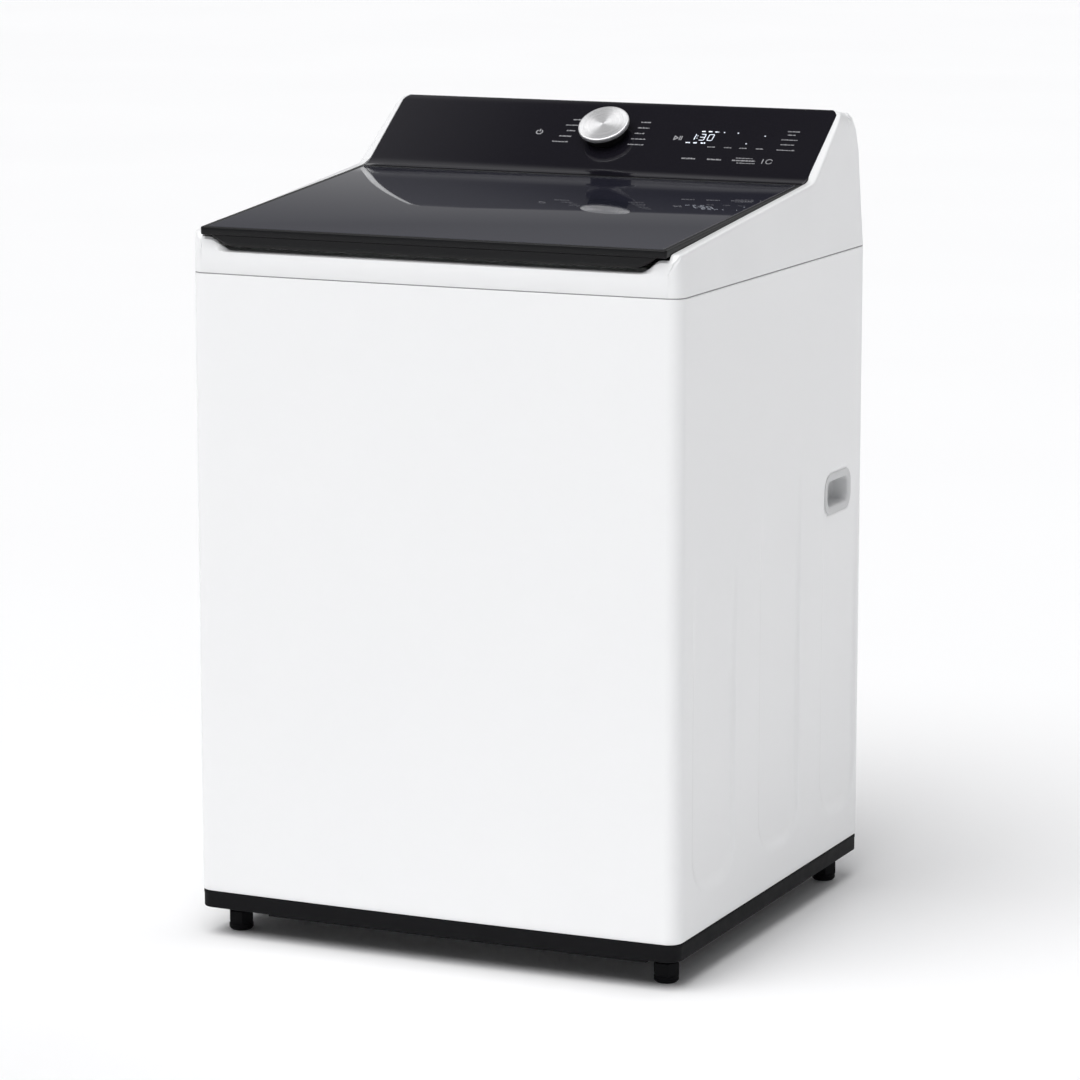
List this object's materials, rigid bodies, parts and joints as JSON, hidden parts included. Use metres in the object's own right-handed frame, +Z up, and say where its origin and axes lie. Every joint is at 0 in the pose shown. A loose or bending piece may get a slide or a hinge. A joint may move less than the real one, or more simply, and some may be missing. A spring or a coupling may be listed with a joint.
{
  "type": "top load washing machine",
  "caption": "Top-loading washing machine with a hinged smoked-glass lid, raised control console with a rotary knob, sprung tub, spinning basket and pulsator.",
  "frame": {"origin": "floor level under the middle of the machine", "axes": "+Z up, -Y the front with the lid's lip, +X the machine's right seen from the front"},
  "size_m": [0.686, 0.656, 1.0692],
  "materials": {
    "white_steel": "smooth white enamel, low gloss",
    "white_plastic": "satin moulded white",
    "grey_plastic": "fine satin",
    "black_plastic": "fine satin black",
    "black_gloss": "mirror-smooth black",
    "tinted_glass": "smoked tempered glass, mirror smooth",
    "brushed_aluminium": "spun radial brushing with a polished edge",
    "cast_aluminium": "as cast",
    "stainless": "bright stainless sheet",
    "galvanised": "zinc plated",
    "spring_steel": "oiled spring wire",
    "tub_plastic": "translucent-white filled polypropylene",
    "rubber": "matt",
    "circuit": "solder mask",
    "copper_winding": "enamelled copper on laminated steel"
  },
  "bodies": {
    "cabinet": {"base_frame": "black_plastic", "cabinet_wrap": "white_steel", "rear_panel": "galvanised", "rear_service_cover": "white_plastic", "top_cover": "white_plastic", "console_back_cover": "white_plastic", "console_panel": "black_gloss", "control_board": "circuit", "display_module": "black_plastic", "lid_lock": "black_plastic", "dispenser_housing": "white_plastic", "cord_gland": "black_plastic", "inverter_box": "grey_plastic", "side_grip_left": "grey_plastic", "side_grip_right": "grey_plastic", "inlet_valve_hot": "grey_plastic", "inlet_valve_cold": "grey_plastic", "drain_outlet": "grey_plastic", "suspension_rod_front_left": "galvanised", "suspension_rod_front_right": "galvanised", "suspension_rod_rear_left": "galvanised", "suspension_rod_rear_right": "galvanised", "suspension_spring_front_left": "spring_steel", "suspension_spring_front_right": "spring_steel", "suspension_spring_rear_left": "spring_steel", "suspension_spring_rear_right": "spring_steel"},
    "lid": {"lid_frame": "black_plastic", "lid_glass": "tinted_glass", "lid_inner_trim": "black_plastic", "lid_handle": "black_plastic", "lid_strike": "galvanised", "lid_hinge_pin_left": "galvanised", "lid_hinge_pin_right": "galvanised"},
    "knob": {"knob_skirt": "black_plastic", "knob_cap": "brushed_aluminium", "knob_spindle": "grey_plastic"},
    "drawer": {"dispenser_drawer": "grey_plastic", "drawer_front": "white_plastic"},
    "tub": {"outer_tub": "tub_plastic", "tub_ring": "white_plastic", "bearing_housing": "cast_aluminium", "ball_bearing_upper": "stainless", "ball_bearing_lower": "stainless", "shaft_seal": "rubber", "stator": "copper_winding", "drain_pump": "grey_plastic"},
    "impeller": {"pump_impeller": "black_plastic"},
    "basket": {"basket_shell": "stainless", "basket_base": "cast_aluminium", "balance_ring": "grey_plastic", "lint_filter": "grey_plastic"},
    "drive": {"pulsator": "grey_plastic", "pulsator_cap": "stainless", "drive_shaft": "stainless", "rotor": "galvanised"},
    "foot_front_left": {"foot_front_left": "black_plastic"},
    "foot_front_right": {"foot_front_right": "black_plastic"},
    "foot_rear_left": {"foot_rear_left": "black_plastic"},
    "foot_rear_right": {"foot_rear_right": "black_plastic"}
  },
  "joints": [
    {"name": "lid_hinge", "type": "hinge", "parent": "cabinet", "child": "lid", "pos_m": [0, 0.124, 0.9715], "axis": [-1, 0, 0], "range_deg": [0, 100]},
    {"name": "knob_turn", "type": "hinge", "parent": "cabinet", "child": "knob", "pos_m": [0.008, 0.20932, 1.0379], "axis": [0, -0.5807, 0.8141], "continuous": true},
    {"name": "drawer_slide", "type": "slide", "parent": "cabinet", "child": "drawer", "axis": [0, -1, 0], "range_m": [0, 0.1]},
    {"name": "tub_suspension", "type": "slide", "parent": "cabinet", "child": "tub", "axis": [0, 0, 1], "range_m": [-0.03, 0], "stiffness_N_per_m": 16000, "springref_m": 0.02216, "deforming": ["suspension_spring_front_left", "suspension_spring_front_right", "suspension_spring_rear_left", "suspension_spring_rear_right"]},
    {"name": "impeller_spin", "type": "hinge", "parent": "tub", "child": "impeller", "pos_m": [-0.178, -0.12, 0.146], "axis": [0, 0, 1], "continuous": true},
    {"name": "basket_spin", "type": "hinge", "parent": "tub", "child": "basket", "pos_m": [0, 0, 0.5], "axis": [0, 0, 1], "continuous": true},
    {"name": "pulsator_spin", "type": "hinge", "parent": "tub", "child": "drive", "pos_m": [0, 0, 0.26], "axis": [0, 0, 1], "continuous": true},
    {"name": "foot_front_left_turn", "type": "hinge", "parent": "cabinet", "child": "foot_front_left", "pos_m": [-0.307, -0.272, 0.03], "axis": [0, 0, 1], "continuous": true},
    {"name": "foot_front_right_turn", "type": "hinge", "parent": "cabinet", "child": "foot_front_right", "pos_m": [0.307, -0.272, 0.03], "axis": [0, 0, 1], "continuous": true},
    {"name": "foot_rear_left_turn", "type": "hinge", "parent": "cabinet", "child": "foot_rear_left", "pos_m": [-0.307, 0.29, 0.03], "axis": [0, 0, 1], "continuous": true},
    {"name": "foot_rear_right_turn", "type": "hinge", "parent": "cabinet", "child": "foot_rear_right", "pos_m": [0.307, 0.29, 0.03], "axis": [0, 0, 1], "continuous": true}
  ]
}
